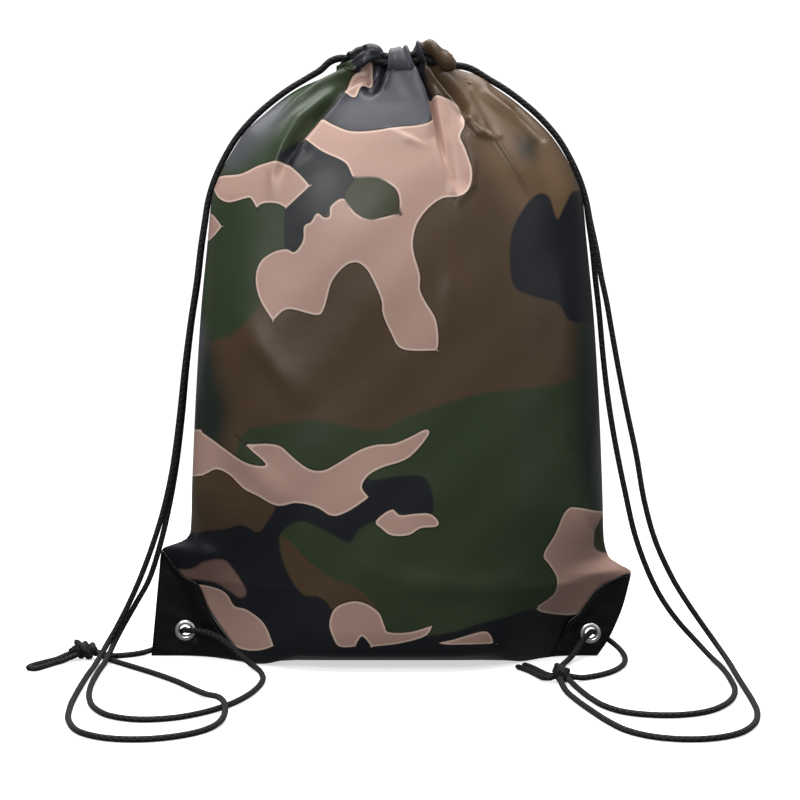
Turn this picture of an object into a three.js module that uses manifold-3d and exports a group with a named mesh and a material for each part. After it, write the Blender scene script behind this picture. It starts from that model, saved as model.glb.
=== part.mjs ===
// A drawstring backpack, stuffed and standing on its base: two cloth panels sewn at the sides and base, a
// gathered casing round the mouth, leatherette tabs with eyelets at the two lower corners, and two drawcords
// that are also the shoulder straps. Millimetres, +Z up, front towards -Y, origin on the floor under the middle
// of the base.
import * as THREE from 'three';
import { mergeVertices } from 'three/addons/utils/BufferGeometryUtils.js';
import Module from 'manifold-3d';

const wasm = await Module();
wasm.setup();

// ---- Driving dimensions -----------------------------------------------------------------------------------

const CLOTH = 1.4; // thickness of a panel: coated cloth with its lining and seam
const CORNERS_TO_Z = 90; // below this height the panels thin out where the bag is flat
const CORNER_CLOTH_SHARE = 0.7; // how much of the flat corner's half depth a panel's cloth takes up
const NECK_Z = 411.5; // top edge of the panels, under the casings
const ROUND_SIDE = { power: 2.4, tail: 0.42 }; // section of the stuffed body: a soft rounded rectangle
const FLAT_CORNER = { power: 4.5, tail: 7 }; // section at the lower corners: it thins out into a flat tab
const SEAM_Y = 0.15; // half the gap between the two panels along the side seams
const BASE_SEAM_Y = 3; // the base seam runs just behind the middle

// Height and distance from the middle plane, from the floor up.
const NECK_EDGE = [[130, 144.5], [180, 142], [240, 138], [300, 132], [324, 129.6], [338, 125], [352, 118],
  [367, 108], [384, 91], [400, 69.5], [408, 51], [412, 41]];
const LEFT_EDGE = [[0, 175], [30, 172], [60, 169], [77, 167], [80, 160], [84, 150], [90, 146.5], ...NECK_EDGE];
const RIGHT_EDGE = [[0, 142], [10, 149], [20, 154], [35, 160], [50, 164], [61, 166], [66, 158], [72, 150],
  [85, 146.5], ...NECK_EDGE];
const HALF_DEPTH = [[0, 48], [3, 53], [12, 57.5], [30, 60], [100, 61], [180, 60], [250, 58], [300, 54],
  [335, 48], [360, 40], [380, 31], [395, 23], [405, 17], [412, 13.5]];
const LEFT_PATCH_EDGE = [[0, 104], [10, 112], [37, 132.5], [54, 140], [58, 149], [70, 160], [77, 166.5]];
const RIGHT_PATCH_EDGE = [[0, 109], [5, 111], [13, 115], [26, 120], [33, 128], [41, 134], [52, 143],
  [61, 165.5]];

// Half the bag's depth at a panel's side edge: the panels stop inside the tabs, clear of the eyelets.
const LEFT_PANEL_RIM = [[0, 7], [20, 7], [30, 5], [37, 3], [45, 1.6], [54, 0.9], [75, 0.9], [97, SEAM_Y],
  [NECK_Z, SEAM_Y]];
const RIGHT_PANEL_RIM = [[0, 3.8], [26, 3.8], [33, 1.8], [41, 0.9], [60, 0.9], [85, SEAM_Y], [NECK_Z, SEAM_Y]];

const PANEL_ROWS = [0, 1.2, 5, 12, 25, 42, 56, 66, 74, 80, 86, 92, 105, 140, 190, 240, 285, 320, 345, 365,
  382, 396, 405, NECK_Z];
const PANEL_COLUMNS = 20;
// A patch lies on the panels with the wide gap, and on its twin with the tight one.
const PATCH = { thickness: 1.2, rows: 10, columns: 9, bottom: 0.5 };
const PATCH_GAP = { tight: 0.25, wide: 1.8, tightBelow: 0.6, wideAbove: 2.5 };
const SIDES = [
  {
    name: 'left',
    sign: -1,
    edge: LEFT_EDGE,
    tab: { fullBelow: 45, goneAbove: 97 },
    panelRim: LEFT_PANEL_RIM,
    patchEdge: LEFT_PATCH_EDGE,
    patchTop: 76,
    eyelet: { x: -150.5, z: 19 },
  },
  {
    name: 'right',
    sign: 1,
    edge: RIGHT_EDGE,
    tab: { fullBelow: 35, goneAbove: 85 },
    panelRim: RIGHT_PANEL_RIM,
    patchEdge: RIGHT_PATCH_EDGE,
    patchTop: 60,
    eyelet: { x: 137.5, z: 17 },
  },
];

const EYELET = { hole: 4, barrel: 5, flange: 7.5, flangeThickness: 0.9, reach: 2 };
const EYELET_PINCH = { near: 9, far: 14, halfThickness: 0.3 };
const RECESS_DEPTH = 10; // how far the cut for a flange reaches outwards
const SEAT = 0.05; // the flange lies this close to the patch
const ROUND_SIDES = 24;
const FIT_GAP = 0.3;

const CORD_DIAMETER = 4;
const CORD_CURVE_SEGMENTS = 4; // a full circle gets twice as many sides as this
const CORD_STEP = 3 * CORD_DIAMETER;
const SHORT_STEP = 1.5 * CORD_DIAMETER; // for the runs with tighter bends
const MOST_CORD_STEPS = 80;
const CORD_LEVEL = 2.4; // the two cords lie one above the other in the casings, this far from their middle
// Each loop's far end, round the side of the mouth.
const BIGHT = { lead: 1.5, turns: [-0.6, 0, 0.6], lift: 1.4 };
const KNOT_PROFILE = [[0, -1], [0.5, -0.86], [0.9, -0.4], [1, 0.05], [0.88, 0.45], [0.55, 0.8], [0, 1]];
const KNOT_SIDES = 14;
const CASING = { height: 12.2, depth: 7.6, wall: 1.3, corner: 2.6, steps: 14 };
const CASING_PATH = [[-33, 8, 419], [-17, 13, 421.5], [0, 15, 418.5], [17, 13, 422], [33, 8, 419]];

// ---- Materials --------------------------------------------------------------------------------------------

function material(color, roughness, metalness) {
  return new THREE.MeshStandardMaterial({ color, roughness, metalness });
}

const CLOTH_GREEN = material(0x3a4430, 0.45, 0);
const CLOTH_BROWN = material(0x4e3e2d, 0.45, 0);
const LEATHERETTE = material(0x101114, 0.35, 0);
const NICKEL = material(0xd8d8d6, 0.2, 1);
const CORD_BLACK = material(0x0c0c0e, 0.55, 0);

// ---- Small tools ------------------------------------------------------------------------------------------

function smoothstep(low, high, value) {
  const t = THREE.MathUtils.clamp((value - low) / (high - low), 0, 1);
  return t * t * (3 - 2 * t);
}

// A monotone cubic through a list of [position, value] pairs.
function curveThrough(pairs, at) {
  const last = pairs.length - 1;
  const x = THREE.MathUtils.clamp(at, pairs[0][0], pairs[last][0]);
  const slopes = pairs.slice(1).map((p, i) => (p[1] - pairs[i][1]) / (p[0] - pairs[i][0]));
  const tangent = (i) => {
    if (i === 0 || i === last) return slopes[Math.min(i, last - 1)];
    if (slopes[i - 1] * slopes[i] <= 0) return 0;
    return (2 * slopes[i - 1] * slopes[i]) / (slopes[i - 1] + slopes[i]);
  };
  let i = 0;
  while (i < last - 1 && x > pairs[i + 1][0]) i += 1;
  const width = pairs[i + 1][0] - pairs[i][0];
  const t = (x - pairs[i][0]) / width;
  const rise = (3 - 2 * t) * t * t;
  return pairs[i][1] * (1 - rise) + pairs[i + 1][1] * rise
    + width * t * (1 - t) * ((1 - t) * tangent(i) - t * tangent(i + 1));
}

function toSolid(geometry) {
  const bare = geometry.clone();
  bare.deleteAttribute('normal');
  bare.deleteAttribute('uv');
  const merged = mergeVertices(bare, 1e-4);
  const vertProperties = new Float32Array(merged.attributes.position.array);
  const triVerts = new Uint32Array(merged.index.array);
  return new wasm.Manifold(new wasm.Mesh({ numProp: 3, vertProperties, triVerts }));
}

function fromSolid(solid) {
  const mesh = solid.getMesh();
  const geometry = new THREE.BufferGeometry();
  geometry.setAttribute('position', new THREE.BufferAttribute(mesh.vertProperties, 3));
  geometry.setIndex(new THREE.BufferAttribute(mesh.triVerts, 1));
  return geometry;
}

// A closed sheet between two grids of points with the same rows and columns. The first is its outer face.
function sheetBetween(outer, inner, flip) {
  const rows = outer.length;
  const columns = outer[0].length;
  const points = [...outer.flat(), ...inner.flat()];
  const index = [];
  const quad = (a, b, c, d) => index.push(...(flip ? [a, c, b, a, d, c] : [a, b, c, a, c, d]));
  const at = (layer, row, column) => layer * rows * columns + row * columns + column;
  for (let row = 0; row < rows - 1; row += 1) {
    for (let column = 0; column < columns - 1; column += 1) {
      const next = column + 1;
      quad(at(0, row, column), at(0, row, next), at(0, row + 1, next), at(0, row + 1, column));
      quad(at(1, row, column), at(1, row + 1, column), at(1, row + 1, next), at(1, row, next));
    }
  }
  for (let column = 0; column < columns - 1; column += 1) {
    const next = column + 1;
    quad(at(0, 0, column), at(1, 0, column), at(1, 0, next), at(0, 0, next));
    quad(at(0, rows - 1, column), at(0, rows - 1, next), at(1, rows - 1, next), at(1, rows - 1, column));
  }
  for (let row = 0; row < rows - 1; row += 1) {
    const last = columns - 1;
    quad(at(0, row, 0), at(0, row + 1, 0), at(1, row + 1, 0), at(1, row, 0));
    quad(at(0, row, last), at(1, row, last), at(1, row + 1, last), at(0, row + 1, last));
  }
  const geometry = new THREE.BufferGeometry();
  const flat = new Float32Array(points.flatMap((p) => [p.x, p.y, p.z]));
  geometry.setAttribute('position', new THREE.BufferAttribute(flat, 3));
  geometry.setIndex(index);
  return geometry;
}

// Outward normals of a grid of points, from its neighbours; facing says which way out is.
function gridNormals(grid, facing) {
  return grid.map((line, row) => line.map((point, column) => {
    const along = line[Math.min(column + 1, line.length - 1)].clone().sub(line[Math.max(column - 1, 0)]);
    const above = grid[Math.min(row + 1, grid.length - 1)][column];
    const up = above.clone().sub(grid[Math.max(row - 1, 0)][column]);
    return along.cross(up).normalize().multiplyScalar(facing);
  }));
}

function offsetGrid(grid, normals, distance) {
  return grid.map((line, row) => line.map((point, column) => {
    const by = typeof distance === 'function' ? distance(point) : distance;
    return point.clone().addScaledVector(normals[row][column], by);
  }));
}

// ---- The bag's outer surface ------------------------------------------------------------------------------

function section(z, side) {
  const corner = 1 - smoothstep(side.tab.fullBelow, side.tab.goneAbove, z);
  return {
    edge: curveThrough(side.edge, z),
    depth: curveThrough(HALF_DEPTH, z),
    power: THREE.MathUtils.lerp(ROUND_SIDE.power, FLAT_CORNER.power, corner),
    tail: THREE.MathUtils.lerp(ROUND_SIDE.tail, FLAT_CORNER.tail, corner),
    rim: curveThrough(side.panelRim, z),
  };
}

function depthAt(x, z, side) {
  const { edge, depth, power, tail } = section(z, side);
  const share = Math.min(Math.abs(x) / edge, 1);
  const free = depth * (1 - share ** power) ** tail;
  const away = Math.hypot(x - side.eyelet.x, z - side.eyelet.z);
  const pinch = 1 - smoothstep(EYELET_PINCH.near, EYELET_PINCH.far, away);
  return THREE.MathUtils.lerp(free, Math.min(free, EYELET_PINCH.halfThickness), pinch);
}

// One row of a panel from its left seam to its right seam, at the even turns of a quarter circle.
function panelRow(z, facing) {
  const row = [];
  for (let column = 0; column <= PANEL_COLUMNS; column += 1) {
    const across = (2 * column) / PANEL_COLUMNS - 1;
    const side = SIDES[across < 0 ? 0 : 1];
    const { edge, depth, power, tail, rim } = section(z, side);
    const lastTurn = Math.acos((rim / depth) ** (1 / (2 * tail)));
    const turn = Math.abs(across) * lastTurn;
    const x = side.sign * edge * Math.sin(turn) ** (2 / power);
    row.push(new THREE.Vector3(x, facing * depth * Math.cos(turn) ** (2 * tail), z));
  }
  return row;
}

// facing is -1 for the front panel and +1 for the back one. Each turns under the bag to the base seam.
function makePanel(facing) {
  const grid = PANEL_ROWS.map((z) => panelRow(z, facing));
  const seamY = BASE_SEAM_Y + (facing > 0 ? FIT_GAP : 0);
  grid.unshift(grid[0].map((point) => new THREE.Vector3(point.x, seamY, 0)));
  const normals = gridNormals(grid, -facing);
  normals[0].forEach((normal) => normal.set(0, 0, -1));
  normals[1].forEach((normal) => normal.setZ(-1).normalize());
  const inCorner = (point) => point.z < CORNERS_TO_Z && point.z > 0;
  const thickness = (point) => {
    if (!inCorner(point)) return CLOTH;
    return Math.min(CLOTH, CORNER_CLOTH_SHARE * Math.abs(point.y));
  };
  const inner = offsetGrid(grid, normals, (point) => -thickness(point));
  inner[0].forEach((point, column) => point.setX(inner[1][column].x));
  inner.slice(1).flat().forEach((point) => point.setY(facing * Math.max(facing * point.y, SEAM_Y)));
  return sheetBetween(grid, inner, facing > 0);
}

// ---- Corner tabs ------------------------------------------------------------------------------------------

function disc(radius, thickness, at, hole) {
  const half = thickness / 2;
  const profile = [[hole, -half], [radius, -half], [radius, half], [hole, half], [hole, -half]];
  const ring = new THREE.LatheGeometry(profile.map(([r, h]) => new THREE.Vector2(r, h)), ROUND_SIDES);
  return ring.translate(at.x, at.y, at.z);
}

function cylinder(radius, length, at) {
  return new THREE.CylinderGeometry(radius, radius, length, ROUND_SIDES).translate(at.x, at.y, at.z);
}

function makePatch(side, facing) {
  const grid = [];
  for (let row = 0; row <= PATCH.rows; row += 1) {
    const z = THREE.MathUtils.lerp(PATCH.bottom, side.patchTop, row / PATCH.rows);
    const from = curveThrough(side.patchEdge, z);
    const to = curveThrough(side.edge, z);
    const line = [];
    for (let column = 0; column <= PATCH.columns; column += 1) {
      const x = side.sign * THREE.MathUtils.lerp(from, to, column / PATCH.columns);
      line.push(new THREE.Vector3(x, facing * depthAt(x, z, side), z));
    }
    grid.push(line);
  }
  const outwards = -facing * side.sign;
  const normals = gridNormals(grid, outwards);
  normals.flat().forEach((normal) => normal.setZ(0).normalize());
  const { tight, wide, tightBelow, wideAbove } = PATCH_GAP;
  const gap = ({ y }) => THREE.MathUtils.lerp(tight, wide, smoothstep(tightBelow, wideAbove, Math.abs(y)));
  const inner = offsetGrid(grid, normals, gap);
  const outer = offsetGrid(inner, normals, PATCH.thickness);
  const patch = toSolid(sheetBetween(outer, inner, facing * side.sign > 0));
  const barrelAt = { x: side.eyelet.x, y: 0, z: side.eyelet.z };
  const barrel = cylinder(EYELET.barrel + FIT_GAP, 2 * RECESS_DEPTH, barrelAt);
  const recessY = facing * (EYELET.reach - SEAT + RECESS_DEPTH / 2);
  const recess = cylinder(EYELET.flange + FIT_GAP, RECESS_DEPTH, { ...barrelAt, y: recessY });
  return fromSolid(patch.subtract(toSolid(barrel)).subtract(toSolid(recess)));
}

// The flange lies on the front of the tab, and its barrel passes through to the washer behind.
function makeEyelet(side) {
  const { hole, barrel, flange, flangeThickness, reach } = EYELET;
  const rim = flangeThickness / 3;
  const front = -reach - flangeThickness;
  const profile = [[hole, reach], [hole, front + rim], [hole + rim, front], [flange - 2 * rim, front],
    [flange, front + 2 * rim], [flange, -reach], [barrel, -reach], [barrel, reach], [hole, reach]];
  const ring = new THREE.LatheGeometry(profile.map(([r, y]) => new THREE.Vector2(r, y)), ROUND_SIDES);
  return ring.translate(side.eyelet.x, 0, side.eyelet.z);
}

function makeWasher(side) {
  const { barrel, flange, flangeThickness, reach } = EYELET;
  const at = { x: side.eyelet.x, y: reach + flangeThickness / 2, z: side.eyelet.z };
  return disc(flange, flangeThickness, at, barrel + FIT_GAP);
}

// ---- Casings and cords ------------------------------------------------------------------------------------

function pathThrough(points) {
  return new THREE.CatmullRomCurve3(points.map(([x, y, z]) => new THREE.Vector3(x, y, z)), false, 'centripetal');
}

function roundedOutline(shape, width, height, corner) {
  const x = width / 2 - corner;
  const y = height / 2 - corner;
  shape.absarc(x, y, corner, 0, Math.PI / 2);
  shape.absarc(-x, y, corner, Math.PI / 2, Math.PI);
  shape.absarc(-x, -y, corner, Math.PI, 1.5 * Math.PI);
  shape.absarc(x, -y, corner, 1.5 * Math.PI, 2 * Math.PI);
  shape.closePath();
  return shape;
}

// The hem round the mouth, bowed forwards or backwards, with the tunnel that both cords run through.
function makeCasing(facing) {
  const { height, depth, wall, corner, steps } = CASING;
  const hem = roundedOutline(new THREE.Shape(), height, depth, corner);
  hem.holes.push(roundedOutline(new THREE.Path(), height - 2 * wall, depth - 2 * wall, corner - wall));
  const extrudePath = pathThrough(CASING_PATH.map(([x, y, z]) => [x, facing * y, z]));
  return new THREE.ExtrudeGeometry(hem, { steps, curveSegments: 1, extrudePath });
}

function makeCord(points, step = CORD_STEP) {
  const round = new THREE.Shape().absarc(0, 0, CORD_DIAMETER / 2, 0, 2 * Math.PI);
  const extrudePath = pathThrough(points);
  const steps = Math.min(MOST_CORD_STEPS, Math.ceil(extrudePath.getLength() / step));
  return new THREE.ExtrudeGeometry(round, { steps, curveSegments: CORD_CURVE_SEGMENTS, extrudePath });
}

// The held stretch of one cord: in at its own side, through the front casing, round the far end of the mouth
// and back through the rear casing.
function makeCordLoop(side) {
  const level = -side.sign * CORD_LEVEL;
  const outwards = side.sign < 0 ? CASING_PATH : [...CASING_PATH].reverse();
  const [endX, endY, endZ] = outwards[outwards.length - 1];
  const front = outwards.map(([x, y, z]) => [x, -y, z + level]);
  const back = outwards.map(([x, y, z]) => [x, y, z + level]).reverse();
  const round = BIGHT.turns.map((turn) => {
    const angle = (turn * Math.PI) / 2;
    const reach = BIGHT.lead + endY * Math.cos(angle);
    return [endX - side.sign * reach, endY * Math.sin(angle), endZ + BIGHT.lift * level];
  });
  return makeCord([...front, ...round, ...back], SHORT_STEP);
}

// A pear-shaped overhand knot, its long axis along X.
function makeKnot(at, halfLength, radius) {
  const profile = KNOT_PROFILE.map(([r, h]) => new THREE.Vector2(r * radius, h * halfLength));
  const pear = new THREE.LatheGeometry(profile, KNOT_SIDES);
  return pear.rotateZ(-Math.PI / 2).translate(...at);
}

// Where the cords lie on each shoulder, [distance from the middle, height].
const SHOULDER = [[53, 413.4], [63, 407.4], [75.6, 399.8], [87.8, 390.8], [100.2, 379.8], [112.2, 366],
  [121, 351.4], [127.6, 337], [131.9, 323]];

const CASING_EXITS = [34.3, 41, 47];
const SHOULDER_FROM = 63;

// A strand leaves its casing at startY, at the three heights given, and settles at endY on the shoulder.
function overShoulder(sign, startY, endY, exitHeights) {
  const exit = CASING_EXITS.map((x, i) => [x, exitHeights[i]]);
  return [...exit, ...SHOULDER].map(([x, z]) => {
    const settled = THREE.MathUtils.clamp((x - CASING_EXITS[0]) / (SHOULDER_FROM - CASING_EXITS[0]), 0, 1);
    return [sign * x, THREE.MathUtils.lerp(startY, endY, settled), z];
  });
}

const LEFT_FRONT_STRAND = [
  ...overShoulder(-1, -8, -4.6, [421.4, 421.3, 418.9]),
  [-134.4, -5.5, 308], [-137.2, -6.5, 290], [-140, -7.5, 267], [-144.5, -8, 238], [-149, -8, 205],
  [-153, -8, 170], [-158, -8.5, 135], [-164.5, -9, 106], [-172, -10, 82], [-181, -11, 58], [-190, -12.5, 38],
  [-198, -15, 22.5], [-204, -20, 12], [-207.6, -29, 5.2], [-209.2, -42, 2.3], [-209.4, -70, 2.2],
  [-209, -100, 2.2], [-208, -135, 2.2], [-206, -170, 2.2], [-201, -205, 2.2], [-190, -233, 2.2],
  [-172, -248, 2.2], [-150, -251, 2.2], [-130, -243, 2.2], [-115.5, -228, 2.2], [-108, -208, 2.7],
  [-106.5, -190, 4.7], [-109, -172, 6.7], [-114.5, -155, 6], [-122.5, -138, 3.6], [-133, -117, 2.2],
  [-147, -93, 2.2], [-164, -69, 2.2], [-180, -49, 2.2], [-193, -33, 2.2], [-201.5, -22.5, 2.3],
  [-206.3, -16.5, 3], [-209.4, -14.2, 4.2],
];
const LEFT_BACK_STRAND = [
  ...overShoulder(-1, 8, 0.4, [421.4, 421.3, 418.9]),
  [-134.2, -0.3, 308], [-136.8, -1.2, 290], [-139.5, -2, 267], [-144, -2.6, 238], [-148, -3, 205],
  [-151.5, -3.2, 170], [-156, -3.6, 135], [-161.3, -5, 106], [-167, -7, 82], [-175.5, -6.4, 56],
  [-185.5, -7.4, 38], [-194, -10, 23], [-198.6, -15.4, 14], [-201.2, -24, 7.6], [-203, -36, 3.2],
  [-203.8, -52, 2.2], [-203.4, -80, 2.2], [-202, -110, 2.2], [-198, -142, 2.2], [-190.5, -170, 2.2],
  [-178, -191, 2.2], [-160, -201, 2.2], [-140, -198, 2.2], [-122, -184, 2.2], [-107.5, -163, 2.2],
  [-97.5, -138, 2.2], [-91.5, -110, 2.2], [-90, -84, 2.2], [-93, -63, 2.2],
];
const LEFT_EYELET_RUN = [
  [-93.2, -62, 2.2], [-96.5, -52, 2.4], [-101.5, -44, 4], [-108.5, -36.5, 8], [-117, -28.5, 13.5],
  [-126.5, -20.5, 18], [-136, -14.5, 20.3], [-144, -10.5, 20.5], [-149.4, -5.4, 19.6], [-150.6, 0, 19],
  [-151.6, 5.2, 18.2], [-155.5, 9.4, 15.4], [-161, 10.4, 11.5], [-166.5, 8.8, 7.6], [-172, 6.8, 4.6],
  [-178, 3.4, 2.8], [-184.5, -1.8, 2.2], [-192.5, -7, 2.2], [-200, -9.4, 2.2], [-206, -10, 3],
  [-209.4, -9.8, 4.2],
];
const LEFT_KNOT_TAIL = [
  [-232.8, -14, 4], [-238.5, -21, 2.4], [-246, -32, 2.2], [-252.5, -43, 2.2], [-253.5, -50, 2.2],
  [-248.5, -52, 2.2], [-244.5, -46, 2.2], [-239, -35, 2.2], [-233.5, -26, 2.4], [-229, -19.6, 3.4],
];
const RIGHT_FRONT_STRAND = [
  ...overShoulder(1, -8, -4.6, [416.6, 416.4, 415.6]),
  [134.8, -6, 308], [138.8, -7, 290], [142.4, -8, 270], [146.4, -8, 252], [150.4, -8, 230],
  [156.5, -8, 198], [162, -8, 172], [168, -8, 145], [174, -8.5, 112], [182, -9, 84], [194.5, -10, 57],
  [205, -11, 40], [215, -12.5, 25.5], [223.5, -16, 13.5], [229, -24, 5.6], [231, -36, 2.3],
  [230.2, -60, 2.2], [229.2, -90, 2.2], [228.4, -120, 2.2], [227.4, -150, 2.2], [225, -182, 2.2],
  [218, -212, 2.2], [205, -236, 2.2], [189, -248, 2.2], [171, -251, 2.2], [153, -245, 2.2],
  [139, -230, 2.2], [129.5, -206, 2.2], [122, -178, 2.2], [115.5, -150, 2.2], [111, -125, 2.2],
  [109.2, -107, 3], [108.8, -95.1, 4],
];
const RIGHT_BACK_STRAND = [
  ...overShoulder(1, 8, 0.4, [416.6, 416.4, 415.6]),
  [134, -0.4, 308], [136.6, -1.4, 290], [138.9, -2.2, 268], [141.5, -3, 246], [144.6, -3.4, 214],
  [148.2, -3.6, 185], [153, -4, 156], [160, -4.4, 122], [168.5, -5, 86], [180, -5.5, 56], [189.5, -6, 39],
  [200, -7.5, 25], [210.5, -10, 13.6], [218, -17, 5.8], [222.2, -29, 2.4], [223.8, -55, 2.2],
  [223.4, -90, 2.2], [221.4, -118, 2.2], [216, -142, 2.2], [207, -163, 2.2], [194, -180, 2.2],
  [177, -189, 2.2], [158, -189, 2.2], [142, -181, 2.2], [131, -164, 2.2], [124.5, -142, 2.2],
  [120, -120, 2.2], [116.8, -104, 2.8], [114.2, -93.9, 4],
];
const RIGHT_EYELET_LOOP = [
  [117, -86, 4], [124, -83, 2.5], [133, -77, 2.2], [143, -67, 2.2], [151, -54, 2.2], [157, -38, 2.2],
  [160, -21, 2.2], [160.5, -6, 2.6], [158.5, 5, 4.5], [153, 12, 8.5], [146, 12.4, 13], [139.6, 7.4, 16.4],
  [137.4, 0, 17], [134.9, -6.6, 16.4], [130, -12.5, 12.5], [125.5, -19, 7.5], [120.5, -27.5, 4],
  [115.2, -39, 2.4], [111.6, -53, 2.2], [109.8, -66, 2.4], [109.4, -75, 3.2], [109.4, -81, 4],
];
const RIGHT_END_ONE = [
  [104.5, -83.4, 4], [101.5, -75, 2.8], [98, -63, 2.2], [93, -50, 2.2], [87.5, -39, 2.2],
];
const RIGHT_END_TWO = [[102.7, -89.6, 4], [98.5, -84, 2.8], [94, -70, 2.2], [89, -57, 2.2], [82.5, -45, 2.2]];

// ---- The bag ----------------------------------------------------------------------------------------------

const bag = new THREE.Group();

function add(name, geometry, finish) {
  const mesh = new THREE.Mesh(geometry, finish);
  mesh.name = name;
  bag.add(mesh);
}

add('front_panel', makePanel(-1), CLOTH_GREEN);
add('back_panel', makePanel(1), CLOTH_BROWN);
add('front_casing', makeCasing(-1), CLOTH_GREEN);
add('back_casing', makeCasing(1), CLOTH_BROWN);
for (const side of SIDES) {
  add(`${side.name}_patch_front`, makePatch(side, -1), LEATHERETTE);
  add(`${side.name}_patch_back`, makePatch(side, 1), LEATHERETTE);
  add(`${side.name}_eyelet`, makeEyelet(side), NICKEL);
  add(`${side.name}_eyelet_washer`, makeWasher(side), NICKEL);
  add(`${side.name}_cord_loop`, makeCordLoop(side), CORD_BLACK);
}
add('left_cord_front_strand', makeCord(LEFT_FRONT_STRAND), CORD_BLACK);
add('left_cord_back_strand', makeCord(LEFT_BACK_STRAND), CORD_BLACK);
add('left_cord_eyelet_run', makeCord(LEFT_EYELET_RUN, SHORT_STEP), CORD_BLACK);
add('left_knot', makeKnot([-221, -12, 6.8], 11, 6.6), CORD_BLACK);
add('left_knot_tail', makeCord(LEFT_KNOT_TAIL, SHORT_STEP), CORD_BLACK);
add('right_cord_front_strand', makeCord(RIGHT_FRONT_STRAND), CORD_BLACK);
add('right_cord_back_strand', makeCord(RIGHT_BACK_STRAND), CORD_BLACK);
add('right_cord_eyelet_loop', makeCord(RIGHT_EYELET_LOOP, SHORT_STEP), CORD_BLACK);
add('right_knot', makeKnot([110, -88, 6.4], 6.3, 6.2), CORD_BLACK);
add('right_cord_end_one', makeCord(RIGHT_END_ONE), CORD_BLACK);
add('right_cord_end_two', makeCord(RIGHT_END_TWO), CORD_BLACK);

export default bag;
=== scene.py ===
# The looks of a stuffed drawstring backpack, built round its imported CAD part. Lengths are
# millimetres until a mesh is made. The print, its patches of painted sheen and shade, and the folds
# are drawn in a front view: x, and the height where a line of sight from the camera meets the bag's
# middle plane.
import math

import bpy
import numpy as np
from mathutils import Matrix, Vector


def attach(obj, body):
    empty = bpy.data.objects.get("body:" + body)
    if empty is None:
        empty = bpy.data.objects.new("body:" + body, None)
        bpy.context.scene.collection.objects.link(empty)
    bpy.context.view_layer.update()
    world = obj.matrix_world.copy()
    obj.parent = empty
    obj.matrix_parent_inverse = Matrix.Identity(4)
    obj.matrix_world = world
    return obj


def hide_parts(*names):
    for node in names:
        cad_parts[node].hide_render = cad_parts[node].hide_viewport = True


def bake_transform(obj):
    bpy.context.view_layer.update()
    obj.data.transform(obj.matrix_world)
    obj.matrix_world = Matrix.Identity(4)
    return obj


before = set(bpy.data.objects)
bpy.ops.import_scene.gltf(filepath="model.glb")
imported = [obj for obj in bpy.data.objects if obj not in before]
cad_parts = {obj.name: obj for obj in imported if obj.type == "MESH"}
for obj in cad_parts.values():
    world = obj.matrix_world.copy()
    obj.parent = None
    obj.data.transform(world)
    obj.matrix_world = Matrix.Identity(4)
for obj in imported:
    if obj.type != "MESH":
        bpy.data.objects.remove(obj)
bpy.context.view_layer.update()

MM = 0.001
EYE_DISTANCE = 1450
EYE_HEIGHT = 300
CORD_RADIUS = 2.0
END_SHRINK = 0.62  # a tube's first and last rings, so that its ends look rounded
ROUND_SIDES = 48
ROUND_TURNS = np.arange(ROUND_SIDES) * 2 * math.pi / ROUND_SIDES
rng = np.random.default_rng(11)

# ---- The bag's surface, as in the CAD part ----

NECK_Z = 411.5
BASE_SEAM_Y = 3
SEAM_Y = 0.15
NECK_EDGE = [
    (130, 144.5), (180, 142), (240, 138), (300, 132), (324, 129.6), (338, 125), (352, 118), (367, 108),
    (384, 91), (400, 69.5), (408, 51), (412, 41)]
HALF_DEPTH = [(0, 48), (3, 53), (12, 57.5), (30, 60), (100, 61), (180, 60), (250, 58), (300, 54), (335, 48),
              (360, 40), (380, 31), (395, 23), (405, 17), (412, 13.5)]
LEFT = {
    "name": "left", "sign": -1, "tab": (20, 125), "patch_top": 76, "eyelet": (-150.5, 19),
    "edge": [(0, 175), (30, 172), (60, 169), (77, 167), (80, 160), (84, 150), (90, 146.5)] + NECK_EDGE,
    "rim": [(0, 7), (20, 7), (30, 5), (37, 3), (45, 1.6), (50, 0.8), (56, 0), (76, 0), (97, SEAM_Y),
            (412, SEAM_Y)],
    "patch_edge": [(0, 104), (10, 112), (37, 132.5), (54, 140), (58, 149), (70, 160), (77, 166.5)],
}
RIGHT = {
    "name": "right", "sign": 1, "tab": (12, 112), "patch_top": 60, "eyelet": (137.5, 17),
    "edge": [(0, 142), (10, 149), (20, 154), (35, 160), (50, 164), (61, 166), (66, 158), (72, 150),
             (85, 146.5)] + NECK_EDGE,
    "rim": [(0, 3.8), (26, 3.8), (33, 1.8), (38, 0.8), (44, 0), (60, 0), (85, SEAM_Y), (412, SEAM_Y)],
    "patch_edge": [(0, 109), (5, 111), (13, 115), (26, 120), (33, 128), (41, 134), (52, 143), (61, 165.5)],
}
SIDES = (LEFT, RIGHT)
CASING_PATH = [(-33, 8, 419), (-17, 13, 421.5), (0, 15, 418.5), (17, 13, 422), (33, 8, 419)]
# A section's half depth is depth * (1 - (x / edge) ** power) ** tail. Level with the tabs both
# exponents are larger, which draws the seams out flat.
POWER, TAB_POWER = 2.4, 4.5
TAIL, TAB_TAIL = 0.42, 7
SECTION_STEPS = 700


def smoothstep(low, high, value):
    t = np.clip((np.asarray(value, float) - low) / (high - low), 0, 1)
    return t * t * (3 - 2 * t)


def lerp(a, b, t):
    return a + (b - a) * t


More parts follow.
